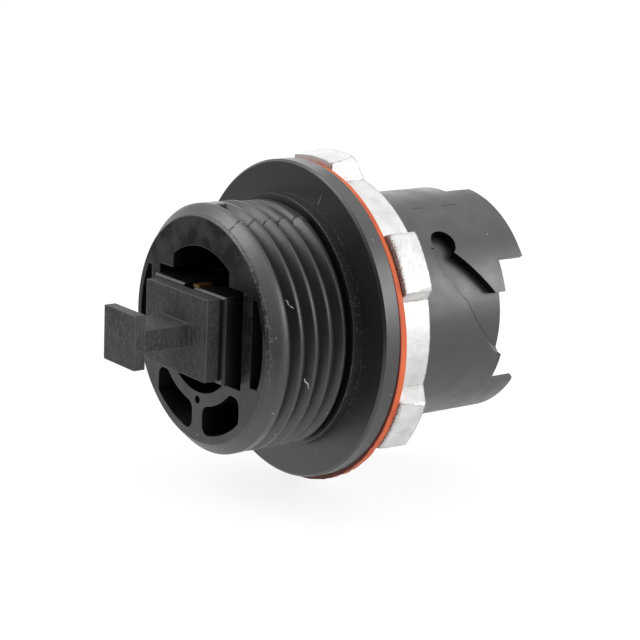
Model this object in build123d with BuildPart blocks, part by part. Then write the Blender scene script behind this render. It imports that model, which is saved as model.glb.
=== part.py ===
"""Bulkhead connector: a threaded moulding with a bayonet socket on one side and a capped adapter on the other.

Millimetres. Y is the connector's axis, +Z is up. The origin is the centre of the flange's sealing face.
The bayonet socket points to +Y, and the capped adapter to -Y.
"""
import os
from math import cos, radians, sin, tan

from build123d import *

os.makedirs("parts", exist_ok=True)

# Screw thread: straight three-quarter-inch pipe form, 14 turns to the inch
pitch = 25.4 / 14
thread_r = 13.3
thread_depth = 1.1
crest_w = 0.32
barrel_y = -3.83
relief_top = 0.2
relief_bottom = 0.45
relief_root = 0.5
relief_half = 22.0
helix_phase = 3.9
rear_grooves = 4
groove_over = 0.6
groove_clear = 0.05

# Barrel and its front face
face_y = -13.0
lead_in = 1.25
lip_w = 0.3
lip_t = 0.22
lip_groove = 0.12
lead_y = -11.75
collar_over = 0.4
collar_y = -3.2
flange_over = 3.95
flange_t = 1.95
flange_edge = 0.25

# Neck under the lock nut, and the bayonet tube
neck_end = 5.3
neck_step = 0.6
tube_wall = 2.0
tube_end = 18.75
tooth_end = 22.55
tooth_wall = 0.85
tooth_tip = 0.3
tooth_from = 32.5
tooth_to = 84.0
tooth_count = 3
socket_step = 0.4
socket_step_y = 9.0

# Bayonet channel, at the tube's outside: angles round the axis and places along it
channel_depth = 1.1
channel_mid = 15.0
ramp_w = 1.0
ramp_from_angle = 42.0
ramp_from_y = 10.15
ramp_top_angle = 30.1
ramp_top_y = 10.3
ramp_mid_angle = 13.0
ramp_mid_y = 13.2
ramp_end_angle = -17.0
ramp_end_y = 18.2
pocket_angle = 44.0
pocket_y = 12.1
pocket_d = 3.1
steep_top_angle = 37.0
steep_top_y = 13.25
steep_end_angle = 15.6
steep_end_y = 17.35

# Adapter: a fibre-optic coupler of two shells welded at its flange
adapter_w = 13.3
adapter_h = 9.3
adapter_lift = 0.4
adapter_front = -14.46
adapter_split = -4.3
adapter_back = 8.6
adapter_flange_w = 15.0
adapter_flange_h = 9.9
adapter_flange_t = 1.9
port_w = 9.3
port_h = 7.6
key_w = 1.95
key_len = 6.2
shell_edge = 0.2
window_fit = 0.15

# Cavities in the barrel
side_gap = 1.15
cavity_w = adapter_w + 2 * side_gap
cavity_h = 10.4
cavity_lift = 0.55
wall_front = adapter_split + adapter_flange_t / 2
wall_back = -1.0
arch_r = 8.95
arch_half_w = 5.2
trough_r = 6.65
slot_x = 9.4
slot_r = 11.4
slot_top = 5.3
slot_bottom = -3.9
kidney_in_r = 8.05
kidney_out_r = 11.2
kidney_half_w = 7.6
kidney_top = -5.55
web_w = 1.9
web_pin_r = 0.45
web_pin_at = 7.5
web_pin_depth = 1.2
corner_r = 1.0

# Gasket and lock nut
gasket_t = 1.0
gasket_over = 0.05
gasket_fit = 0.3
nut_t = 4.5
nut_wall = 2.3
nut_bore_fit = 0.05
lug_over = 0.75
lug_root_w = 7.4
lug_tip_w = 6.5
lug_count = 6
lug_cone = 1.3
lug_taper = 0.45
lug_corner = 0.6
lug_from = 30.0
nut_edge = 0.3

# Inside the adapter
latch_base_t = 1.1
latch_base_w = port_w + 1.6
latch_fit = 0.1
holder_r = 2.35
holder_len = 6.6
hook_t = 0.9
hook_h = 3.2
hook_len = 5.6
hook_barb = 0.45
hook_gap = 0.15
sleeve_r = 1.6
sleeve_bore_r = 1.26
sleeve_len = 11.4
sleeve_slot = 0.5
sleeve_play = 0.03
holder_bore_r = sleeve_r + sleeve_play

# Retaining clip over the adapter
clip_t = 0.3
clip_len = 2.4
clip_leg = 6.4
barb_h = 3.0
clip_back = adapter_split - adapter_flange_t / 2
tongue_w = 1.1
tongue_x = 1.25
tongue_tip = 0.1

# Dust cap
plate_w = 11.5
plate_h = 8.7
plate_t = 1.5
plug_len = 3.0
plug_fit = 0.12
plug_wall = 1.1
stem_w = 5.2
stem_h = 2.4
stem_len = 5.6
tab_w = 6.0
tab_h = 5.75
tab_t = 1.2
cap_edge = 0.2


def station(y):
    """A plane across the axis at y, drawn in X and Z. It extrudes towards -Y."""
    return Plane.XZ.offset(-y)


def radial(angle):
    """A plane through the axis facing outwards at an angle, drawn in Y and in the distance round the axis."""
    return Plane(origin=(0, 0, 0), x_dir=(0, 1, 0), z_dir=(cos(radians(angle)), 0, sin(radians(angle))))


def on_circle(angle, radius):
    """A point of a circle round the axis, in X and Z."""
    return (radius * cos(radians(angle)), radius * sin(radians(angle)))


def channel_wall(height, y, angle, slope=0.0):
    """Where the channel's wall cuts the plane at a height over the axis. The wall stands on the tube's
    outside at y and an angle, runs in towards the axis, and moves along it by the slope."""
    off_middle = radians(angle - channel_mid)
    depth = tube_r - height / cos(off_middle)
    return (y + slope * depth, height * tan(off_middle))


# Radii that follow from the thread and the flange
thread_root_r = thread_r - thread_depth
face_r = thread_r - lead_in
collar_r = thread_r + collar_over
flange_r = thread_r + flange_over
tube_r = thread_r - neck_step
tube_bore_r = tube_r - tube_wall
tooth_bore_r = tube_r - tooth_wall
socket_root_r = tube_bore_r - socket_step
channel_floor_r = tube_r - channel_depth
gasket_r = flange_r + gasket_over
gasket_bore_r = thread_r + gasket_fit
nut_bore_r = thread_r + nut_bore_fit
nut_r = nut_bore_r + nut_wall
lug_r = flange_r + lug_over

# Thread groove. The thread is right-handed, so it climbs in +Y as the angle round the axis falls.
# A helix starts at 90 degrees, on top
groove_r = thread_r + groove_over
groove_half = (pitch - crest_w) / 2 * (1 + groove_over / thread_depth)
groove_last = barrel_y - (pitch + crest_w) / 2
groove_start = groove_last - pitch * ((90 - helix_phase) / 360 + rear_grooves - 1)
groove_end = collar_y - groove_half - groove_clear

with BuildPart() as groove:
    with BuildLine():
        path = Helix(pitch, groove_end - groove_start, groove_r, center=(0, groove_start, 0), direction=(0, 1, 0))
    with BuildSketch(Plane(origin=path @ 0, x_dir=(0, 0, 1), z_dir=path % 0)):
        Polygon((-thread_depth - groove_over, 0), (0, -groove_half), (0, groove_half), align=None)
    sweep(is_frenet=True)

# The screw barrel: a lip, a lead-in cone, the thread and an undercut in front of the collar
with BuildPart() as barrel:
    with BuildSketch(Plane.XY):
        with BuildLine():
            Polyline(
                (0, face_y),
                (face_r, face_y),
                (face_r + lip_w, face_y + lip_t),
                (face_r + lip_w - lip_groove, face_y + lip_t + lip_groove),
                (thread_r, lead_y),
                (thread_r, barrel_y),
                (thread_root_r, barrel_y),
                (thread_root_r, collar_y),
                (0, collar_y),
                close=True,
            )
        make_face()
    revolve(axis=Axis.Y)
    add(groove.part, mode=Mode.SUBTRACT)
    # Where the mould's slides part, above and below, the thread is shallower at its root and lower at its crest
    with BuildSketch(station(collar_y)):
        for middle in (90, -90):
            Polygon(
                (0, 0),
                on_circle(middle - relief_half, 2 * thread_r),
                on_circle(middle + relief_half, 2 * thread_r),
                align=None,
            )
        Circle(thread_root_r + relief_root, mode=Mode.INTERSECT)
    extrude(amount=collar_y - lead_y)
    for middle, crest_r in ((90, thread_r - relief_top), (-90, thread_r - relief_bottom)):
        with BuildSketch(station(collar_y)):
            Polygon(
                on_circle(middle - relief_half, crest_r / 2),
                on_circle(middle - relief_half, 1.5 * thread_r),
                on_circle(middle + relief_half, 1.5 * thread_r),
                on_circle(middle + relief_half, crest_r / 2),
                align=None,
            )
            Circle(crest_r, mode=Mode.SUBTRACT)
        extrude(amount=collar_y - face_y, mode=Mode.SUBTRACT)

# The bayonet channel: its floor climbs round the tube from a pocket to the mouth, between a steep wall and a ramp
ramp = ramp_w / (tube_r - channel_floor_r)
mouth_y = 2 * tube_end
lowest_floor = channel_floor_r * cos(radians(channel_mid - ramp_end_angle))
with BuildPart() as channel:
    for height in (lowest_floor - 0.2, tube_r + 0.1):
        with BuildSketch(radial(channel_mid).offset(height)):
            with BuildLine():
                Polyline(
                    channel_wall(height, ramp_from_y, ramp_from_angle, ramp),
                    channel_wall(height, ramp_top_y, ramp_top_angle, ramp),
                    channel_wall(height, ramp_mid_y, ramp_mid_angle, ramp),
                    channel_wall(height, ramp_end_y, ramp_end_angle, ramp),
                    channel_wall(height, mouth_y, ramp_end_angle),
                    channel_wall(height, mouth_y, steep_end_angle),
                    channel_wall(height, steep_end_y, steep_end_angle),
                    channel_wall(height, steep_top_y, steep_top_angle),
                    channel_wall(height, pocket_y, ramp_from_angle),
                    close=True,
                )
            make_face()
    loft(ruled=True)
    with BuildSketch(radial(pocket_angle)):
        with Locations((pocket_y, 0)):
            Circle(pocket_d / 2)
    extrude(amount=2 * tube_r)
    with BuildSketch(station(mouth_y)):
        Circle(channel_floor_r)
    extrude(amount=mouth_y, mode=Mode.SUBTRACT)

# Housing: barrel, collar, flange, neck and bayonet tube in one moulding
gap_from = tooth_to
gap_to = tooth_from + 360 / tooth_count
gap_mid = (gap_from + gap_to) / 2

with BuildPart() as housing:
    with BuildSketch(Plane.XY):
        with BuildLine():
            Polyline(
                (0, collar_y),
                (collar_r, collar_y),
                (collar_r, -flange_t),
                (flange_r - flange_edge, -flange_t),
                (flange_r, -flange_t + flange_edge),
                (flange_r, 0),
                (thread_r, 0),
                (thread_r, neck_end - neck_step),
                (tube_r, neck_end),
                (tube_r, tooth_end - tooth_tip),
                (tube_r - tooth_tip, tooth_end),
                (tooth_bore_r, tooth_end),
                (tooth_bore_r, tube_end),
                (tube_bore_r, tube_end),
                (tube_bore_r, socket_step_y),
                (socket_root_r, socket_step_y),
                (socket_root_r, wall_back),
                (0, wall_back),
                close=True,
            )
        make_face()
    revolve(axis=Axis.Y)
    add(barrel.part)
    # Gaps between the teeth at the tube's mouth
    with BuildSketch(station(tube_end)):
        with PolarLocations(0, tooth_count):
            Polygon(
                (0, 0),
                on_circle(gap_from, 2 * tube_r),
                on_circle(gap_mid, 2 * tube_r),
                on_circle(gap_to, 2 * tube_r),
                align=None,
            )
    extrude(amount=-2 * (tooth_end - tube_end), mode=Mode.SUBTRACT)
    for tooth in range(tooth_count):
        add(channel.part.rotate(Axis.Y, tooth * 360 / tooth_count), mode=Mode.SUBTRACT)
    # Adapter's cavity, with an arch above it and a trough below
    with BuildSketch(station(face_y)):
        Circle(arch_r)
        Rectangle(2 * arch_half_w, 4 * arch_r, mode=Mode.INTERSECT)
        with Locations((0, -2 * arch_r)):
            Rectangle(4 * arch_r, 4 * arch_r, mode=Mode.SUBTRACT)
        Circle(trough_r)
        with Locations((0, cavity_lift)):
            Rectangle(cavity_w, cavity_h)
    extrude(amount=face_y - wall_front, mode=Mode.SUBTRACT)
    # Side slots and the two kidney-shaped pockets under the adapter
    with BuildSketch(station(face_y)):
        Circle(slot_r)
        with Locations((0, (slot_top + slot_bottom) / 2)):
            Rectangle(4 * slot_r, slot_top - slot_bottom, mode=Mode.INTERSECT)
            Rectangle(2 * slot_x, slot_top - slot_bottom, mode=Mode.SUBTRACT)
    extrude(amount=face_y - wall_front, mode=Mode.SUBTRACT)
    with BuildSketch(station(face_y)) as kidneys:
        Circle(kidney_out_r)
        Circle(kidney_in_r, mode=Mode.SUBTRACT)
        with Locations((0, -2 * kidney_out_r + kidney_top)):
            Rectangle(2 * kidney_half_w, 4 * kidney_out_r, mode=Mode.INTERSECT)
        Rectangle(web_w, 4 * kidney_out_r, mode=Mode.SUBTRACT)
        fillet(kidneys.vertices(), corner_r)
    extrude(amount=face_y - wall_front, mode=Mode.SUBTRACT)
    with BuildSketch(station(face_y)):
        with Locations((0, -web_pin_at)):
            Circle(web_pin_r)
    extrude(amount=-web_pin_depth, mode=Mode.SUBTRACT)
    # Window for the adapter through the bulkhead wall
    with BuildSketch(station(wall_front)):
        with Locations((0, adapter_lift)):
            Rectangle(adapter_w + 2 * window_fit, adapter_h + 2 * window_fit)
    extrude(amount=wall_front - wall_back, mode=Mode.SUBTRACT)

# Gasket, hanging by its bore on the thread's crest
with BuildPart() as gasket:
    with BuildSketch(station(gasket_t)):
        with Locations((0, thread_r - gasket_bore_r)):
            Circle(gasket_r)
            Circle(gasket_bore_r, mode=Mode.SUBTRACT)
    extrude(amount=gasket_t)

# Lock nut: a die-cast ring with tapered lugs
nut_front = gasket_t
nut_back = nut_front + nut_t
with BuildPart() as lock_nut:
    with BuildSketch(station(nut_back)):
        Circle(nut_r)
        with PolarLocations(0, lug_count, start_angle=lug_from):
            Polygon(
                (nut_bore_r, -lug_root_w / 2),
                (lug_r - lug_corner, -lug_tip_w / 2),
                (lug_r, lug_corner - lug_tip_w / 2),
                (lug_r, lug_tip_w / 2 - lug_corner),
                (lug_r - lug_corner, lug_tip_w / 2),
                (nut_bore_r, lug_root_w / 2),
                align=None,
            )
    extrude(amount=nut_t)
    with BuildSketch(Plane.XY):
        with BuildLine():
            Polyline(
                (0, nut_front),
                (lug_r - lug_taper, nut_front),
                (lug_r, nut_back - lug_cone),
                (nut_r - nut_edge, nut_back),
                (0, nut_back),
                close=True,
            )
        make_face()
    revolve(axis=Axis.Y, mode=Mode.INTERSECT)
    with BuildSketch(station(nut_back)):
        Circle(nut_bore_r)
    extrude(amount=nut_t, mode=Mode.SUBTRACT)

# Adapter shells, welded face to face in the middle of the flange
half_flange = adapter_flange_t / 2
shells = []
for end in (adapter_front, adapter_back):
    length = adapter_split - end
    toward = 1 if length > 0 else -1
    with BuildPart() as shell:
        with BuildSketch(station(adapter_split)):
            with Locations((0, adapter_lift)):
                Rectangle(adapter_w, adapter_h)
        extrude(amount=length)
        chamfer(shell.faces().sort_by(Axis.Y)[0 if toward > 0 else -1].edges(), shell_edge)
        with BuildSketch(station(adapter_split)):
            with Locations((0, adapter_lift)):
                Rectangle(adapter_flange_w, adapter_flange_h)
        extrude(amount=toward * half_flange)
        with BuildSketch(station(adapter_split)):
            with Locations((0, adapter_lift)):
                Rectangle(port_w, port_h)
        extrude(amount=length, mode=Mode.SUBTRACT)
        # Recess that traps the latch's base between the shells
        with BuildSketch(station(adapter_split)):
            with Locations((0, adapter_lift)):
                Rectangle(latch_base_w + 2 * latch_fit, port_h)
        extrude(amount=toward * latch_base_t, mode=Mode.SUBTRACT)
        with BuildSketch(station(end)):
            with Locations((0, adapter_lift + adapter_h / 2)):
                Rectangle(key_w, adapter_h)
        extrude(amount=-toward * key_len, mode=Mode.SUBTRACT)
    shells.append(shell)
rear_shell, socket_shell = shells

# Latches: a base plate with two hooks and half of the tube that holds the alignment sleeve
latches = []
for toward in (1, -1):
    with BuildPart() as latch:
        with BuildSketch(station(adapter_split)):
            with Locations((0, adapter_lift)):
                Rectangle(latch_base_w, port_h - 2 * latch_fit)
        extrude(amount=toward * latch_base_t)
        with BuildSketch(station(adapter_split)):
            with Locations((0, adapter_lift)):
                Circle(holder_r)
        extrude(amount=toward * (latch_base_t + holder_len))
        hook_x = port_w / 2 - latch_fit - hook_t - hook_gap
        with BuildSketch(Plane.XY.offset(adapter_lift - hook_h / 2)):
            root_y = adapter_split - toward * latch_base_t
            tip_y = root_y - toward * hook_len
            for side in (1, -1):
                with BuildLine():
                    Polyline(
                        (side * hook_x, root_y + toward * latch_base_t / 2),
                        (side * hook_x, tip_y + toward * 2 * hook_barb),
                        (side * (hook_x - hook_barb), tip_y + toward * 2 * hook_barb),
                        (side * (hook_x - hook_barb), tip_y + toward * hook_barb),
                        (side * hook_x, tip_y),
                        (side * (hook_x + hook_t), tip_y),
                        (side * (hook_x + hook_t), root_y + toward * latch_base_t / 2),
                        close=True,
                    )
                make_face()
        extrude(amount=hook_h)
        with BuildSketch(station(adapter_split)):
            with Locations((0, adapter_lift)):
                Circle(holder_bore_r)
        extrude(amount=toward * sleeve_len / 2, mode=Mode.SUBTRACT)
        with BuildSketch(station(adapter_split)):
            with Locations((0, adapter_lift)):
                Circle(sleeve_bore_r)
        extrude(amount=toward * 2 * holder_len, mode=Mode.SUBTRACT)
    latches.append(latch)
rear_latch, socket_latch = latches

# Split alignment sleeve, lying in its holder's bore
with BuildPart() as sleeve:
    with BuildSketch(station(adapter_split - sleeve_len / 2)):
        with Locations((0, adapter_lift - sleeve_play)):
            Circle(sleeve_r)
            Circle(sleeve_bore_r, mode=Mode.SUBTRACT)
        with Locations((0, adapter_lift + sleeve_r)):
            Rectangle(sleeve_slot, sleeve_r, mode=Mode.SUBTRACT)
    extrude(amount=-sleeve_len)

# Bronze saddle clip over the adapter: its legs stand in the cavity's side gaps and their barbs grip its walls
adapter_top = adapter_lift + adapter_h / 2
with BuildPart() as clip:
    with BuildSketch(station(clip_back)):
        with Locations((0, adapter_top + clip_t - clip_leg / 2)):
            Rectangle(adapter_w + 2 * clip_t, clip_leg)
        with Locations((0, adapter_top - clip_leg)):
            Rectangle(adapter_w, 2 * clip_leg, mode=Mode.SUBTRACT)
    extrude(amount=clip_len)
    fillet(clip.edges().filter_by(Axis.Y).group_by(Axis.Z)[-1], clip_t)
    with BuildSketch(Plane.XY.offset(adapter_top)):
        with BuildLine():
            Polyline(
                (tongue_x - tongue_w / 2, clip_back - clip_len / 2),
                (tongue_x - tongue_w / 2, adapter_front + tongue_tip),
                (tongue_x + tongue_w / 2, adapter_front + tongue_tip),
                (tongue_x + tongue_w / 2, clip_back - clip_len / 2),
                close=True,
            )
        make_face()
    extrude(amount=clip_t)
    with BuildSketch(Plane.XY.offset(adapter_top + clip_t - clip_leg)):
        for side in (1, -1):
            with BuildLine():
                Polyline(
                    (side * adapter_w / 2, clip_back - clip_t),
                    (side * adapter_w / 2, clip_back - clip_t * 2),
                    (side * (cavity_w / 2), clip_back - clip_len * 0.75),
                    (side * (cavity_w / 2), clip_back - clip_len * 0.75 + clip_t),
                    close=True,
                )
            make_face()
    extrude(amount=barb_h)

# Dust cap: plug, plate, stem and pull tab in one moulding
plate_back = adapter_front
plate_front = plate_back - plate_t
tab_back = plate_front - stem_len
with BuildPart() as dust_cap:
    with BuildSketch(station(plate_back)):
        with Locations((0, adapter_lift)):
            RectangleRounded(plate_w, plate_h, cap_edge)
    extrude(amount=plate_t)
    with BuildSketch(station(plate_back)):
        with Locations((0, adapter_lift)):
            Rectangle(port_w - 2 * plug_fit, port_h - 2 * plug_fit)
            Rectangle(port_w - 2 * (plug_fit + plug_wall), port_h - 2 * (plug_fit + plug_wall), mode=Mode.SUBTRACT)
    extrude(amount=-plug_len)
    with BuildSketch(station(plate_front)):
        with Locations((0, adapter_lift)):
            Rectangle(stem_w, stem_h)
    extrude(amount=stem_len)
    with BuildSketch(station(tab_back)):
        with Locations((0, adapter_lift)):
            RectangleRounded(tab_w, tab_h, cap_edge)
    extrude(amount=tab_t)

housing.part.label = "housing"
gasket.part.label = "gasket"
lock_nut.part.label = "lock_nut"
rear_shell.part.label = "rear_shell"
socket_shell.part.label = "socket_shell"
rear_latch.part.label = "rear_latch"
socket_latch.part.label = "socket_latch"
sleeve.part.label = "alignment_sleeve"
clip.part.label = "adapter_clip"
dust_cap.part.label = "dust_cap"

export_step(housing.part, "parts/housing.step")
export_step(gasket.part, "parts/gasket.step")
export_step(lock_nut.part, "parts/lock_nut.step")
export_step(rear_shell.part, "parts/rear_shell.step")
export_step(socket_shell.part, "parts/socket_shell.step")
export_step(rear_latch.part, "parts/rear_latch.step")
export_step(socket_latch.part, "parts/socket_latch.step")
export_step(sleeve.part, "parts/alignment_sleeve.step")
export_step(clip.part, "parts/adapter_clip.step")
export_step(dust_cap.part, "parts/dust_cap.step")
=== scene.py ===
"""Bulkhead connector: looks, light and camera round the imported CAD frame.

Metres, in the frame of the CAD: +Y runs along the connector towards its bayonet socket and +Z is up. Named
lengths are millimetres, and angles round the axis are degrees from +X towards +Z.
"""
from math import cos, pi, radians, sin
from random import Random

import bpy
from mathutils import Matrix, Vector


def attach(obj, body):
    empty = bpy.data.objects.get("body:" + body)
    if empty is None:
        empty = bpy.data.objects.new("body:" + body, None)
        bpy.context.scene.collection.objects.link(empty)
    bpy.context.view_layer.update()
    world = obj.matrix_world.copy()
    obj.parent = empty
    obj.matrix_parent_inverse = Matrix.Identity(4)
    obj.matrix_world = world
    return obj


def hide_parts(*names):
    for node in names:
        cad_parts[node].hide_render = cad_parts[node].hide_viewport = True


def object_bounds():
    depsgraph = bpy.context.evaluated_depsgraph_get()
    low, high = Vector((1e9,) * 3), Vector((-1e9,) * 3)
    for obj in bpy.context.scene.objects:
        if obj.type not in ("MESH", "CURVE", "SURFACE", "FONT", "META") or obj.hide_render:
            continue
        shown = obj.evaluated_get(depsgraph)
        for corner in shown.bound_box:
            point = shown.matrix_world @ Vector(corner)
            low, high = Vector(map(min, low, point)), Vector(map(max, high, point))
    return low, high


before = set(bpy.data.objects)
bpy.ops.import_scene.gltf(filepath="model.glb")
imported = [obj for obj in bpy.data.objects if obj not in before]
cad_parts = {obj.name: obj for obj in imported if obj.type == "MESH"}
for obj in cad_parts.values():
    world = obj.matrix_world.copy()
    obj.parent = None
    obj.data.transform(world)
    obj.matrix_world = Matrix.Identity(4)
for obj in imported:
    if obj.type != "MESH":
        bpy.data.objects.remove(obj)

cad_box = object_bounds()
MM = 0.001


# Writing of node trees

BEVEL_SAMPLES = 6


class Nodes:
    """Writes the node tree of a material or world. Each call adds nodes and returns the socket to use next.

    A share is a socket that runs from 0 to 1 and says how much of something a spot has.
    """

    def __init__(self, owner):
        owner.use_nodes = True
        self.owner = owner
        self.tree = owner.node_tree
        coordinates = self.add("ShaderNodeTexCoord").outputs
        self.place = coordinates["Object"]
        self.world_direction = coordinates["Generated"]

    def add(self, kind, operation=None):
        node = self.tree.nodes.new(kind)
        if operation:
            node.operation = operation
        return node

    def link(self, source, target):
        self.tree.links.new(source, target)

    def plug(self, value, socket):
        """A number, a colour or a socket goes into a socket."""
        if isinstance(value, (int, float)):
            socket.default_value = value
        elif isinstance(value, tuple):
            socket.default_value = (*value, 1.0)
        else:
            self.link(value, socket)

    def math(self, operation, a, b=0.0):
        node = self.add("ShaderNodeMath", operation)
        self.plug(a, node.inputs[0])
        self.plug(b, node.inputs[1])
        return node.outputs[0]

    def vector(self, operation, *terms):
        """An operation on tuples, Vectors and sockets. Returns the node's outputs, Vector and Value."""
        node = self.add("ShaderNodeVectorMath", operation)
        for term, socket in zip(terms, node.inputs):
            if isinstance(term, (tuple, Vector)):
                socket.default_value = term
            else:
                self.link(term, socket)
        return node.outputs

    def span(self, value, low, high, to_low=0.0, to_high=1.0, easing="LINEAR"):
        """Maps low..high to to_low..to_high, and holds outside."""
        node = self.add("ShaderNodeMapRange")
        node.interpolation_type = easing
        self.plug(value, node.inputs["Value"])
        for name, number in (("From Min", low), ("From Max", high), ("To Min", to_low), ("To Max", to_high)):
            node.inputs[name].default_value = number
        return node.outputs["Result"]

    def within(self, value, low, high, soft):
        """A share of 1 between low and high, with soft ends."""
        rise = self.span(value, low - soft, low + soft)
        return self.math("MINIMUM", rise, self.span(value, high - soft, high + soft, 1.0, 0.0))

    def both(self, *shares):
        """The product of shares and numbers."""
        result = shares[0]
        for share in shares[1:]:
            result = self.math("MULTIPLY", result, share)
        return result

    def either(self, *shares):
        """The largest of shares."""
        result = shares[0]
        for share in shares[1:]:
            result = self.math("MAXIMUM", result, share)
        return result

    def blend(self, share, a, b):
        """A number from a at share 0 to b at share 1."""
        return self.math("ADD", a, self.math("MULTIPLY", share, self.math("SUBTRACT", b, a)))

    def mix(self, share, a, b):
        """A colour from a at share 0 to b at share 1."""
        node = self.add("ShaderNodeMix")
        node.data_type = "RGBA"
        self.plug(share, node.inputs[0])
        self.plug(a, node.inputs[6])
        self.plug(b, node.inputs[7])
        return node.outputs[2]

    def scaled(self, sizes):
        """The place, measured in sizes along X, Y and Z that are given in millimetres."""
        mapping = self.add("ShaderNodeMapping")
        mapping.inputs["Scale"].default_value = [1 / (size * MM) for size in sizes]
        self.link(self.place, mapping.inputs["Vector"])
        return mapping.outputs["Vector"]

    def noise(self, size, detail=2.0, rough=0.5, stretch=1.0):
        """Noise whose blotches are about size millimetres wide, and longer along Z by the stretch."""
        node = self.add("ShaderNodeTexNoise")
        node.inputs["Scale"].default_value = 1.0
        node.inputs["Detail"].default_value = detail
        node.inputs["Roughness"].default_value = rough
        self.link(self.scaled((size, size, size * stretch)), node.inputs["Vector"])
        return node.outputs["Fac"]

    def specks(self, spacing, radius, amount):
        """A share of 1 on dust specks. They lie about a spacing in millimetres apart, an amount of 1 keeps
        all of them, and the radius is a part of the spacing."""
        cells = self.add("ShaderNodeTexVoronoi")
        cells.inputs["Scale"].default_value = 1.0
        self.link(self.scaled((spacing, spacing, spacing)), cells.inputs["Vector"])
        split = self.add("ShaderNodeSeparateColor")
        self.link(cells.outputs["Color"], split.inputs[0])
        near = self.span(cells.outputs["Distance"], radius * 0.6, radius, 1.0, 0.0)
        return self.both(near, self.math("LESS_THAN", split.outputs[0], amount))

    def dust(self, small, large):
        """Small and large specks here and there, each in an amount."""
        return self.either(
            self.specks(spacing=1.1, radius=0.075, amount=small),
            self.specks(spacing=3.1, radius=0.045, amount=large),
        )

    def coordinate(self, axis):
        """The place along X, Y or Z in metres."""
        split = self.add("ShaderNodeSeparateXYZ")
        self.link(self.place, split.inputs[0])
        return split.outputs[axis]

    def radius(self):
        """Distance from the connector's axis in millimetres."""
        x, z = self.coordinate("X"), self.coordinate("Z")
        squares = self.math("ADD", self.math("MULTIPLY", x, x), self.math("MULTIPLY", z, z))
        return self.math("DIVIDE", self.math("SQRT", squares), MM)

    def angle(self):
        """Angle round the connector's axis in degrees."""
        return self.math("DEGREES", self.math("ARCTAN2", self.coordinate("Z"), self.coordinate("X")))

    def along(self):
        """Place along the connector's axis in millimetres."""
        return self.math("DIVIDE", self.coordinate("Y"), MM)

    def steep(self, radius):
        """A share of 1 where a face runs out from the connector's axis, and of 0 where it faces outwards."""
        outwards = self.vector("MULTIPLY", self.place, (1, 0, 1))["Vector"]
        face = self.add("ShaderNodeNewGeometry").outputs["True Normal"]
        dot = self.math("ABSOLUTE", self.vector("DOT_PRODUCT", outwards, face)["Value"])
        return self.span(self.math("DIVIDE", dot, self.math("MULTIPLY", radius, MM)), 0.5, 0.3)

    def rounded(self, radius):
        """The surface's normal, as if its edges were rounded by a radius in millimetres."""
        node = self.add("ShaderNodeBevel")
        node.samples = BEVEL_SAMPLES
        metres = radius * MM if isinstance(radius, float) else self.math("MULTIPLY", radius, MM)
        self.plug(metres, node.inputs["Radius"])
        return node.outputs["Normal"]

    def turned(self, normal):
        """How much an edge's rounding turns the surface, as a share."""
        flat = self.add("ShaderNodeNewGeometry").outputs["Normal"]
        return self.span(self.vector("DOT_PRODUCT", normal, flat)["Value"], 0.985, 0.90)

    def bump(self, height, depth, below=None):
        """A bump depth millimetres deep, laid over another normal."""
        node = self.add("ShaderNodeBump")
        node.inputs["Strength"].default_value = 1.0
        node.inputs["Distance"].default_value = depth * MM
        self.plug(height, node.inputs["Height"])
        if below is not None:
            self.link(below, node.inputs["Normal"])
        return node.outputs["Normal"]

    def finish(self, color, roughness, normal=None, metallic=0.0, specular=0.5):
        """Plugs the looks into the material's shader, and returns the material."""
        inputs = self.tree.nodes["Principled BSDF"].inputs
        self.plug(color, inputs["Base Color"])
        self.plug(roughness, inputs["Roughness"])
        self.plug(specular, inputs["Specular IOR Level"])
        self.plug(metallic, inputs["Metallic"])
        if normal is not None:
            self.link(normal, inputs["Normal"])
        return self.owner


def new_material(name):
    """The writer of a new material's nodes."""
    return Nodes(bpy.data.materials.new(name))


def shade(color, factor):
    """A colour times a factor."""
    return tuple(part * factor for part in color)


# Materials. A pair that ends in Y, R or ANGLES holds a zone's ends along the axis, away from it or round it.
# A pair that ends in RISE says where a share changes, mostly from 0 to 1

PITCH = 25.4 / 14
PARTING = 68.6

THREAD_Y = (-11.8, -3.6)
THREAD_R_RISE = (12.0, 12.15)
THREAD_ROUNDING = 0.36
CONE_Y = (-12.75, -11.7)
CONE_R_RISE = (11.9, 12.1)
CONE_LIT_ANGLES = (8, 85)
LEAD_Y = (-12.35, -11.2)
LEAD_R_RISE = (12.3, 12.6)
LEAD_ROUNDING = 0.8
RIM_Y_RISE = (-12.35, -12.5)
RIM_R_RISE = (11.95, 12.1)
END_Y_RISE = (-12.8, -12.95)
END_R_RISE = (12.1, 12.0)
FLANGE_Y = (-3.3, -1.9)
FLANGE_R_RISE = (13.3, 13.6)
COLLAR_DUST_R = (13.5, 14.4)
COLLAR_DUST_ANGLES = (-45, 78)
TUBE_Y_RISE = (5.0, 6.0)
TUBE_SKIN_R_RISE = (12.6, 12.68)
CHANNEL_Y = (9.0, 18.7)
CHANNEL_R = (11.5, 12.66)
FRONT_DASH_Y = (11.3, 12.6)
BACK_DASH_Y = (15.4, 17.7)
NECK_Y = (0.4, 4.5)
NECK_R_RISE = (13.2, 13.28)
NECK_RIDGE = 1.6
BACK_Y_RISE = (-2.8, -2.5)
EDGE_ROUNDING = 0.14
BACK_ROUNDING = 0.05

CLOUD = 4.0
CLOUD_DEPTH = 0.03
STREAK = 0.22
STREAK_DEPTH = 0.03
GRAIN = 0.12
GRAIN_DEPTH = 0.008
GATE_R_RISE = (0.12, 0.5)
GATE_DEPTH = 0.14

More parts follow.
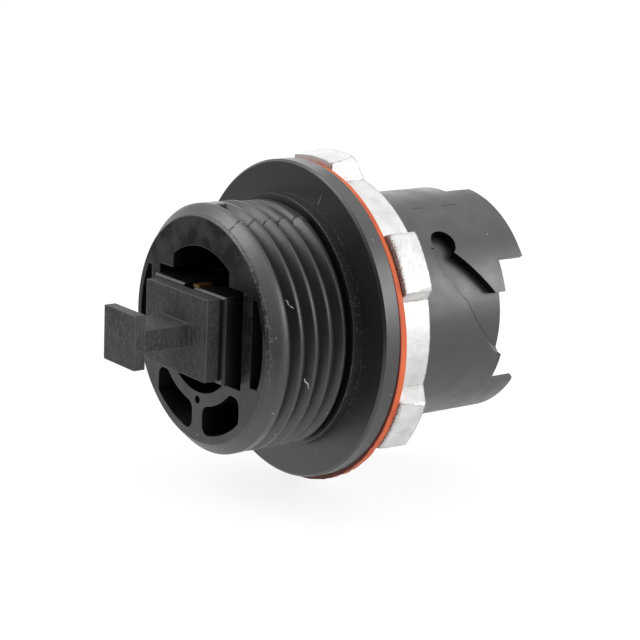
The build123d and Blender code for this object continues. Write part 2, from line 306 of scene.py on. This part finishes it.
MOULDED_DARK = (0.0035, 0.0035, 0.0037)
MOULDED_PALE = (0.006, 0.006, 0.0063)
END_PATCH = (0.013, 0.013, 0.0135)
CONE_PLAIN = (0.014, 0.014, 0.014)
CONE_LIT = (0.075, 0.075, 0.075)
RIM_SCUFF = (0.12, 0.12, 0.12)
HOUSING_DUST = (0.35, 0.35, 0.33)
CHANNEL_PAINTED_SHADE = (0.0015, 0.0015, 0.0015)
PARTING_SEAM_AND_SHADE = (0.001, 0.001, 0.001)
SHELL_BLACK = (0.004, 0.004, 0.0043)
CAP_BLACK = (0.036, 0.036, 0.0368)
ADAPTER_DUST = (0.30, 0.30, 0.29)


def moulding(name):
    """The housing's black plastic. Its faces differ: patchy at the end, scuffed at the rim, painted lighter
    on the lead-in cone's upper side as a painted highlight, dusty beside the collar, and with the thread's
    crests rounded."""
    nodes = new_material(name)
    radius, along, angle = nodes.radius(), nodes.along(), nodes.angle()
    thread = nodes.both(nodes.within(along, *THREAD_Y, soft=0.1), nodes.span(radius, *THREAD_R_RISE))
    cone = nodes.both(nodes.within(along, *CONE_Y, soft=0.05), nodes.span(radius, *CONE_R_RISE))
    lead = nodes.both(nodes.within(along, *LEAD_Y, soft=0.15), nodes.span(radius, *LEAD_R_RISE))
    rim = nodes.both(nodes.span(along, *RIM_Y_RISE), nodes.span(radius, *RIM_R_RISE))
    end = nodes.both(nodes.span(along, *END_Y_RISE), nodes.span(radius, *END_R_RISE))
    flange = nodes.both(nodes.within(along, *FLANGE_Y, soft=0.05), nodes.span(radius, *FLANGE_R_RISE))
    tube = nodes.span(along, *TUBE_Y_RISE)
    shaded_wall = nodes.both(
        nodes.steep(radius),
        nodes.within(radius, *CHANNEL_R, soft=0.04),
        nodes.within(along, *CHANNEL_Y, soft=0.05),
    )

    cloud = nodes.noise(CLOUD, detail=3.0)
    patch = nodes.noise(3.2, detail=4.0, rough=0.6)
    grain = nodes.noise(GRAIN)
    scratch = nodes.noise(0.35, detail=3.0, rough=0.7)

    base = nodes.mix(nodes.span(cloud, 0.35, 0.65), MOULDED_DARK, MOULDED_PALE)
    base = nodes.mix(nodes.both(end, nodes.span(patch, 0.48, 0.66), 0.8), base, END_PATCH)
    # Painted highlight: the lead-in cone is painted lighter round its upper side, between the lit angles
    cone_tone = nodes.mix(nodes.within(angle, *CONE_LIT_ANGLES, soft=15), CONE_PLAIN, CONE_LIT)
    base = nodes.mix(cone, base, cone_tone)
    # The rim's scuffs are thick between 4 and 40 degrees, thinner over the top and nearly gone below
    below = nodes.span(angle, -22, 4, 0.1, 0.9)
    above = nodes.span(angle, 40, 90, 1.0, 0.4)
    base = nodes.mix(nodes.both(rim, nodes.span(scratch, 0.48, 0.6), below, above), base, RIM_SCUFF)

    # Dust: here and there, round the collar, on the thread and the cone, and as burrs where the mould parts
    collar = nodes.both(
        flange,
        nodes.within(radius, *COLLAR_DUST_R, soft=0.25),
        nodes.within(angle, *COLLAR_DUST_ANGLES, soft=8),
    )
    burred = nodes.both(thread, nodes.within(angle, PARTING - 1.2, PARTING + 1.2, soft=0.8))
    dusty = nodes.either(
        nodes.dust(small=0.12, large=0.08),
        nodes.both(collar, nodes.specks(spacing=0.28, radius=0.34, amount=0.5), 0.35),
        nodes.both(nodes.either(thread, cone), nodes.specks(spacing=0.9, radius=0.1, amount=0.3)),
        nodes.both(burred, nodes.specks(spacing=0.45, radius=0.3, amount=0.7), 0.8),
    )
    base = nodes.mix(dusty, base, HOUSING_DUST)
    # Painted shade: the steep walls of the bayonet channel are painted near black and made less shiny, as
    # the shade in the recess
    base = nodes.mix(shaded_wall, base, CHANNEL_PAINTED_SHADE)

    # The mould's parting line shows as dashes on the tube, and as a notch of painted shade in each thread
    # turn
    dashes = nodes.both(
        nodes.within(angle, PARTING - 0.25, PARTING + 0.25, soft=0.25),
        nodes.span(radius, *TUBE_SKIN_R_RISE),
        nodes.either(
            nodes.within(along, *FRONT_DASH_Y, soft=0.3),
            nodes.within(along, *BACK_DASH_Y, soft=0.3),
        ),
        tube,
    )
    shaded_notches = nodes.both(
        nodes.either(thread, cone),
        nodes.within(angle, PARTING - 0.2, PARTING + 0.7, soft=0.25),
        nodes.span(scratch, 0.4, 0.5),
    )
    line = nodes.either(dashes, shaded_notches)
    base = nodes.mix(line, base, PARTING_SEAM_AND_SHADE)

    roughness = nodes.span(cloud, 0.3, 0.7, 0.36, 0.48)
    roughness = nodes.blend(end, roughness, nodes.span(patch, 0.42, 0.62, 0.2, 0.42))
    roughness = nodes.blend(cone, roughness, 0.4)
    roughness = nodes.blend(flange, roughness, 0.45)
    roughness = nodes.blend(tube, roughness, nodes.span(patch, 0.36, 0.64, 0.36, 0.48))
    specular = nodes.blend(nodes.either(shaded_wall, line), nodes.blend(end, 1.0, 0.6), 0.12)

    # From the flange on back, edges are sharper than in front of it
    edge = nodes.blend(lead, nodes.blend(thread, EDGE_ROUNDING, THREAD_ROUNDING), LEAD_ROUNDING)
    normal = nodes.rounded(nodes.blend(nodes.span(along, *BACK_Y_RISE), edge, BACK_ROUNDING))
    normal = nodes.bump(grain, GRAIN_DEPTH, normal)
    normal = nodes.bump(cloud, CLOUD_DEPTH, normal)
    # The thread of the neck, which the nut hides: a ridge that climbs with the pitch
    turns = nodes.math("ADD", nodes.math("DIVIDE", along, PITCH), nodes.math("DIVIDE", angle, 360))
    neck = nodes.both(nodes.within(along, *NECK_Y, soft=0.2), nodes.span(radius, *NECK_R_RISE))
    normal = nodes.bump(nodes.both(nodes.math("PINGPONG", turns, 0.5), neck), NECK_RIDGE, normal)
    return nodes.finish(base, roughness, normal, specular=specular)


def black_plastic(name, tone, rough, dust, edge, specular=1.0, gate=None):
    """Black moulded plastic, with its edges painted lighter as a painted highlight. A gate is the X and Z of
    the dimple that a gate leaves.
    """
    nodes = new_material(name)
    cloud = nodes.noise(CLOUD, detail=3.0)
    grain = nodes.noise(GRAIN)
    streak = nodes.noise(STREAK, detail=4.0, rough=0.7, stretch=2.2)
    soft = nodes.rounded(edge)
    base = nodes.mix(nodes.span(cloud, 0.35, 0.65), shade(tone, 0.75), shade(tone, 1.25))
    base = nodes.mix(nodes.span(streak, 0.45, 0.65), base, shade(tone, 2.0))
    # Painted highlight: edges that the rounding turns are painted lighter
    base = nodes.mix(nodes.both(nodes.turned(soft), 0.8), base, shade(tone, 4.0))
    base = nodes.mix(nodes.dust(small=dust, large=dust * 0.6), base, ADAPTER_DUST)
    roughness = nodes.span(cloud, 0.3, 0.7, rough - 0.05, rough + 0.07)
    normal = nodes.bump(grain, GRAIN_DEPTH, soft)
    normal = nodes.bump(cloud, CLOUD_DEPTH, normal)
    normal = nodes.bump(streak, STREAK_DEPTH, normal)
    if gate:
        offset = nodes.vector("MULTIPLY_ADD", nodes.place, (1 / MM, 0, 1 / MM), (-gate[0], 0, -gate[1]))
        distance = nodes.vector("LENGTH", offset["Vector"])["Value"]
        normal = nodes.bump(nodes.span(distance, *GATE_R_RISE, 1.0, 0.0), GATE_DEPTH, normal)
    return nodes.finish(base, roughness, normal, specular=specular)


ZINC_DARK = (0.55, 0.55, 0.54)
ZINC_PALE = (0.75, 0.75, 0.74)
ZINC_EDGE_SHADE = (0.17, 0.165, 0.16)
GRIME_AND_REFLECTION = (0.20, 0.08, 0.06)
GRIME_AND_REFLECTION_Y_RISE = (1.55, 1.15)
GRIME_AND_REFLECTION_R_RISE = (16.4, 16.8)
GRIME_AND_REFLECTION_ANGLES = (-50, 48)


def zinc(name):
    """Die-cast zinc, painted darker at its edges as painted shade, and reddish-brown along the lugs' front
    edge, partly grime and partly a painted reflection of the gasket.
    """
    nodes = new_material(name)
    radius, along, angle = nodes.radius(), nodes.along(), nodes.angle()
    cloud = nodes.noise(2.4, detail=4.0, rough=0.6)
    fine = nodes.noise(0.35, detail=3.0, rough=0.6)
    grit = nodes.noise(0.16)
    soft = nodes.rounded(0.35)
    base = nodes.mix(nodes.span(cloud, 0.3, 0.7), ZINC_DARK, ZINC_PALE)
    # Painted shade: edges that the rounding turns are painted darker, in patches
    base = nodes.mix(nodes.both(nodes.turned(soft), nodes.span(fine, 0.28, 0.5), 0.85), base, ZINC_EDGE_SHADE)
    # Reddish-brown along the lugs' front edge: partly grime, partly a painted reflection of the gasket
    front = nodes.both(nodes.span(along, *GRIME_AND_REFLECTION_Y_RISE), nodes.span(radius, *GRIME_AND_REFLECTION_R_RISE))
    grime_and_reflection = nodes.both(front, nodes.span(grit, 0.4, 0.58), nodes.within(angle, *GRIME_AND_REFLECTION_ANGLES, soft=6), 0.8)
    base = nodes.mix(grime_and_reflection, base, GRIME_AND_REFLECTION)
    roughness = nodes.span(fine, 0.3, 0.7, 0.38, 0.6)
    normal = nodes.bump(fine, 0.02, soft)
    normal = nodes.bump(cloud, 0.12, normal)
    return nodes.finish(base, roughness, normal, metallic=0.65)


RUBBER_DARK = (0.52, 0.085, 0.026)
RUBBER_PALE = (0.68, 0.14, 0.045)
RUBBER_LOW_SHADE = (0.20, 0.025, 0.009)
RUBBER_LOW_SHADE_ANGLES = (-125, -58)
RUBBER_GAP_SHADE = (0.11, 0.014, 0.006)
RUBBER_GAP_SHADE_Y_RISE = (0.3, 0.1)


def silicone(name):
    """Orange-red rubber, painted darker low down as painted shade, and painted dark brown as painted shade
    on the side that lies against the flange.
    """
    nodes = new_material(name)
    base = nodes.mix(nodes.span(nodes.noise(3.0, detail=3.0), 0.3, 0.7), RUBBER_DARK, RUBBER_PALE)
    # Painted shade: the gasket is painted darker low down
    low = nodes.within(nodes.angle(), *RUBBER_LOW_SHADE_ANGLES, soft=16)
    base = nodes.mix(nodes.both(low, 0.85), base, RUBBER_LOW_SHADE)
    # Painted shade: the side against the flange is painted dark brown, as the shade in the gap
    base = nodes.mix(nodes.span(nodes.along(), *RUBBER_GAP_SHADE_Y_RISE), base, RUBBER_GAP_SHADE)
    return nodes.finish(base, 0.55, nodes.bump(nodes.noise(0.3), 0.01), specular=0.3)


BRONZE_DARK = (0.55, 0.30, 0.12)
BRONZE_PALE = (0.68, 0.42, 0.20)
BRONZE_SHADE = (0.05, 0.03, 0.015)
BRONZE_SHADE_Y_RISE = (-12.9, -12.4)
BRONZE_SHADE_R_RISE = (6.5, 6.2)


def bronze(name):
    """Spring bronze: bright at the tip of its tongue, and painted dark further in as painted shade."""
    nodes = new_material(name)
    cloud = nodes.noise(1.0, detail=3.0)
    base = nodes.mix(nodes.span(cloud, 0.3, 0.7), BRONZE_DARK, BRONZE_PALE)
    # Painted shade: the tongue is painted dark behind its tip
    shaded_tongue = nodes.both(
        nodes.span(nodes.along(), *BRONZE_SHADE_Y_RISE),
        nodes.span(nodes.radius(), *BRONZE_SHADE_R_RISE),
    )
    base = nodes.mix(shaded_tongue, base, BRONZE_SHADE)
    return nodes.finish(base, 0.3, nodes.bump(cloud, 0.02), metallic=1.0)


def plain(name, color, roughness):
    """An even surface with faint clouds."""
    nodes = new_material(name)
    cloud = nodes.noise(1.5, detail=3.0)
    base = nodes.mix(nodes.span(cloud, 0.3, 0.7), shade(color, 0.92), color)
    return nodes.finish(base, roughness, nodes.bump(cloud, 0.01))


looks = {
    "housing": moulding("housing_black"),
    "rear_shell": black_plastic("shell_black", SHELL_BLACK, rough=0.22, dust=0.06, edge=0.12),
    "dust_cap": black_plastic(
        "cap_black", CAP_BLACK, rough=0.62, dust=0.10, edge=0.22, specular=0.3, gate=(-0.1, 0.76)
    ),
    "gasket": silicone("gasket_silicone"),
    "lock_nut": zinc("nut_zinc"),
    "rear_latch": plain("latch_grey", (0.50, 0.50, 0.47), 0.45),
    "alignment_sleeve": plain("sleeve_white", (0.80, 0.80, 0.77), 0.25),
    "adapter_clip": bronze("clip_bronze"),
}
looks["socket_shell"] = looks["rear_shell"]
looks["socket_latch"] = looks["rear_latch"]

for name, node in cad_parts.items():
    for slot in node.material_slots:
        slot.material = looks[name]


def new_piece(name, corners, faces, material):
    """A mesh piece from corners in metres."""
    mesh = bpy.data.meshes.new(name)
    mesh.from_pydata(corners, [], faces)
    mesh.update()
    mesh.materials.append(material)
    piece = bpy.data.objects.new(name, mesh)
    bpy.context.collection.objects.link(piece)
    return piece


# The gasket: a stamped ring that hangs on the neck. Low down on the +X side it is worn ragged, and its edge
# bends off the flange. It is thinner high up on that side, and wider at the bottom

GASKET_R = 17.3
GASKET_BORE_R = 13.6
GASKET_THICK = 1.0
GASKET_DROP = 0.3
GASKET_STEPS = 300

# Corners of its section: how far in from the outer edge, or how far from a face
BACK_CORNER = 0.06
BACK_FLAT_END = 1.1
FRONT_CORNER = 0.05
FRONT_FLAT_END = 0.45
FRONT_EASE = 0.02
FRONT_SIDE = 0.08

# Each AT is a middle and a width in degrees
BENT_AT = (-42, 62)
BENT_FRONT = 0.11
BENT_SIDE = 0.12
THIN_AT = (48, 62)
THIN_DEPTH = 0.24
WIDE_AT = (-86, 44)
WIDE_OVER = 0.3

# Each bite has a place, a width and a depth between two ends
BITE_COUNT = 16
BITE_ANGLES = (-80, -12)
BITE_WIDTHS = (1.5, 5)
BITE_DEPTHS = (0.02, 0.09)


def bell(angle, middle, width):
    """1 at the middle, and 0 beyond a width on either side."""
    off = abs((angle - middle + 180) % 360 - 180) / width
    return (1 + cos(pi * off)) / 2 if off < 1 else 0.0


def worn_gasket():
    """Makes the ring, which takes the place of the CAD model's gasket."""
    chance = Random(7)
    bites = [
        (chance.uniform(*BITE_ANGLES), chance.uniform(*BITE_WIDTHS), chance.uniform(*BITE_DEPTHS))
        for _ in range(BITE_COUNT)
    ]
    corners, faces = [], []
    for step in range(GASKET_STEPS):
        angle = 360 * step / GASKET_STEPS
        bent = bell(angle, *BENT_AT)
        thin = THIN_DEPTH * bell(angle, *THIN_AT)
        worn = max(depth * bell(angle, middle, width) for middle, width, depth in bites)
        outer = GASKET_R - worn + WIDE_OVER * bell(angle, *WIDE_AT)
        section = (
            (GASKET_BORE_R, 0),
            (outer - FRONT_FLAT_END, 0),
            (outer - FRONT_CORNER, FRONT_EASE + BENT_FRONT * bent),
            (outer, FRONT_SIDE + BENT_SIDE * bent),
            (outer, GASKET_THICK - BACK_CORNER - thin),
            (outer - BACK_CORNER, GASKET_THICK - thin),
            (outer - BACK_FLAT_END, GASKET_THICK),
            (GASKET_BORE_R, GASKET_THICK),
        )
        c, s = cos(radians(angle)), sin(radians(angle))
        corners += [(r * c * MM, y * MM, (r * s - GASKET_DROP) * MM) for r, y in section]
        here, there = step * len(section), (step + 1) % GASKET_STEPS * len(section)
        for i in range(len(section)):
            j = (i + 1) % len(section)
            faces.append((here + i, there + i, there + j, here + j))
    piece = new_piece("gasket_ring", corners, faces, looks["gasket"])
    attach(piece, "receptacle")
    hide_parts("gasket")


worn_gasket()


# Two hairs and a shaving, caught on the flange and in the thread

LINT_SIDES = 6
LINT_TIP = 0.4
LINT_ON_THREAD_R = 13.34
FLANGE_HAIR = ((5.2, -1.97, 13.3), (5.25, -1.99, 13.7), (5.5, -1.98, 14.1), (5.72, -1.97, 14.6))

# Each point on the thread is an angle and a place along the axis
THREAD_HAIR = ((25.0, -10.9), (24.2, -10.7), (22.8, -10.65), (21.8, -10.4), (20.8, -10.1))
THREAD_SHAVING = ((-11.0, -8.9), (-12.5, -8.75), (-14.0, -8.3), (-16.6, -8.05))


def on_thread(places):
    """Points just over the thread's crest, each from an angle and a place along the axis."""
    return [(LINT_ON_THREAD_R * cos(radians(a)), y, LINT_ON_THREAD_R * sin(radians(a))) for a, y in places]


def lint(name, points, thick):
    """A thin fibre along points in millimetres, tapered at both ends."""
    points = [Vector(point) for point in points]
    last = len(points) - 1
    corners, faces = [], []
    for i, point in enumerate(points):
        run = (points[min(i + 1, last)] - points[max(i - 1, 0)]).normalized()
        aside = run.orthogonal().normalized()
        other = run.cross(aside)
        size = thick * (LINT_TIP if i in (0, last) else 1.0)
        for k in range(LINT_SIDES):
            turn = radians(360 / LINT_SIDES * k)
            corners.append(tuple((point + (aside * cos(turn) + other * sin(turn)) * size) * MM))
        if i:
            here, before = LINT_SIDES * i, LINT_SIDES * (i - 1)
            for k in range(LINT_SIDES):
                j = (k + 1) % LINT_SIDES
                faces.append((before + k, before + j, here + j, here + k))
    faces.append(tuple(reversed(range(LINT_SIDES))))
    faces.append(tuple(range(LINT_SIDES * last, LINT_SIDES * (last + 1))))
    piece = new_piece(name, corners, faces, lint_grey)
    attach(piece, "receptacle")


lint_grey = plain("lint_grey", (0.36, 0.36, 0.35), 0.7)
lint("flange_hair", FLANGE_HAIR, 0.035)
lint("thread_hair", on_thread(THREAD_HAIR), 0.06)
lint("thread_shaving", on_thread(THREAD_SHAVING), 0.08)


# The floor glows white for the camera and for mirrored rays, under a share of its own shading and shadow.
# Mirrored, it darkens in front of the object, from the near distance to the far one

FLOOR_SIZE = 1200
FLOOR_GAP = 0.6
FLOOR_WHITE = (0.95, 0.95, 0.95)
FLOOR_GLOW = 1.05
FLOOR_SHARE = 0.8
FLOOR_MIRRORED = 0.95
FLOOR_NEAR = 30
FLOOR_FAR = 80
FLOOR_DARK = 0.05


def white_floor(name):
    nodes = new_material(name)
    rays = nodes.add("ShaderNodeLightPath").outputs
    seen = nodes.either(rays["Is Camera Ray"], rays["Is Transmission Ray"])
    glowing = nodes.either(nodes.both(seen, FLOOR_SHARE), nodes.both(rays["Is Glossy Ray"], FLOOR_MIRRORED))
    near = nodes.span(nodes.along(), -FLOOR_FAR, -FLOOR_NEAR, FLOOR_DARK, 1.0, "SMOOTHSTEP")
    glow = nodes.add("ShaderNodeEmission")
    nodes.link(nodes.both(nodes.either(seen, near), FLOOR_GLOW), glow.inputs["Strength"])
    blend = nodes.add("ShaderNodeMixShader")
    nodes.link(glowing, blend.inputs[0])
    nodes.link(nodes.tree.nodes["Principled BSDF"].outputs[0], blend.inputs[1])
    nodes.link(glow.outputs[0], blend.inputs[2])
    nodes.link(blend.outputs[0], nodes.tree.nodes["Material Output"].inputs["Surface"])
    return nodes.finish(FLOOR_WHITE, 0.9)


floor_z = cad_box[0][2] - FLOOR_GAP * MM
bpy.ops.mesh.primitive_plane_add(size=FLOOR_SIZE * MM, location=(0, 0, floor_z))
floor = bpy.context.object
floor.name = "floor"
floor.data.materials.append(white_floor("floor_white"))


# Light

LAMP_DISTANCE = 400


def toward(azimuth, elevation):
    """The direction at an azimuth in degrees from +Y towards +X, and an elevation over the floor."""
    a, e = radians(azimuth), radians(elevation)
    return Vector((sin(a) * cos(e), cos(a) * cos(e), sin(e)))


def softbox(name, azimuth, elevation, width, height, brightness):
    """A square-edged soft lamp that faces the origin. Brightness 1 looks white."""
    data = bpy.data.lights.new(name, "AREA")
    data.shape = "RECTANGLE"
    data.size = width * MM
    data.size_y = height * MM
    data.energy = brightness * pi * data.size * data.size_y
    lamp = bpy.data.objects.new(name, data)
    bpy.context.collection.objects.link(lamp)
    lamp.location = toward(azimuth, elevation) * LAMP_DISTANCE * MM
    lamp.rotation_euler = toward(azimuth, elevation).to_track_quat("Z", "Y").to_euler()


softbox("back_box", azimuth=46, elevation=20, width=250, height=220, brightness=4.4)
softbox("top_box", azimuth=0, elevation=62, width=300, height=300, brightness=0.7)
softbox("front_box", azimuth=-147, elevation=45, width=240, height=240, brightness=3.2)
softbox("left_box", azimuth=-62, elevation=20, width=260, height=260, brightness=1.0)

# The world is white for the camera. The studio that lights the object is darker on the camera's side. The
# cosines say how far from the dark side's middle it is darkest, and where it is as bright as elsewhere
DARK_SIDE = toward(155, -12)
DARK_LEVEL = 0.06
DARK_COSINE = 0.80
WORLD_LEVEL = 0.9
WORLD_COSINE = 0.25

world = bpy.data.worlds.new("studio")
bpy.context.scene.world = world
studio = Nodes(world)
facing = studio.vector("DOT_PRODUCT", studio.world_direction, DARK_SIDE)["Value"]
level = studio.span(facing, WORLD_COSINE, DARK_COSINE, WORLD_LEVEL, DARK_LEVEL, "SMOOTHSTEP")
rays = studio.add("ShaderNodeLightPath").outputs
background = studio.tree.nodes["Background"].inputs
studio.plug((1.0, 1.0, 1.0), background["Color"])
strength = studio.either(rays["Is Camera Ray"], rays["Is Transmission Ray"], level)
studio.link(strength, background["Strength"])


# The photo's camera: azimuth, elevation and roll in degrees, distance in millimetres, pixels per millimetre
# at the origin, the origin's pixel and the picture's side in pixels

VIEW_AZIMUTH = 52.51
VIEW_ELEVATION = 13.76
VIEW_ROLL = 2.40
VIEW_DISTANCE = 219.93
VIEW_SCALE = 9.22
ORIGIN_PIXEL = (299.26, 316.81)
PICTURE = 640
SENSOR = 36.0
NEAREST = 10

azimuth = radians(VIEW_AZIMUTH)
elevation = radians(VIEW_ELEVATION)
roll = radians(VIEW_ROLL)
back = Vector((sin(azimuth) * cos(elevation), -cos(azimuth) * cos(elevation), sin(elevation)))
right = Vector((cos(azimuth), sin(azimuth), 0))
up = back.cross(right)
right, up = cos(roll) * right + sin(roll) * up, cos(roll) * up - sin(roll) * right
aside = (ORIGIN_PIXEL[0] - PICTURE / 2) / VIEW_SCALE
above = (PICTURE / 2 - ORIGIN_PIXEL[1]) / VIEW_SCALE
camera_data = bpy.data.cameras.new("photo_camera")
camera_data.sensor_width = SENSOR
camera_data.lens = VIEW_SCALE * VIEW_DISTANCE / PICTURE * SENSOR
camera_data.clip_start = NEAREST * MM
camera = bpy.data.objects.new("photo_camera", camera_data)
bpy.context.collection.objects.link(camera)
turn = Matrix((right, up, back)).transposed().to_4x4()
camera.matrix_world = Matrix.Translation((back * VIEW_DISTANCE - right * aside - up * above) * MM) @ turn
bpy.context.scene.camera = camera
bpy.context.scene.view_settings.view_transform = "Standard"
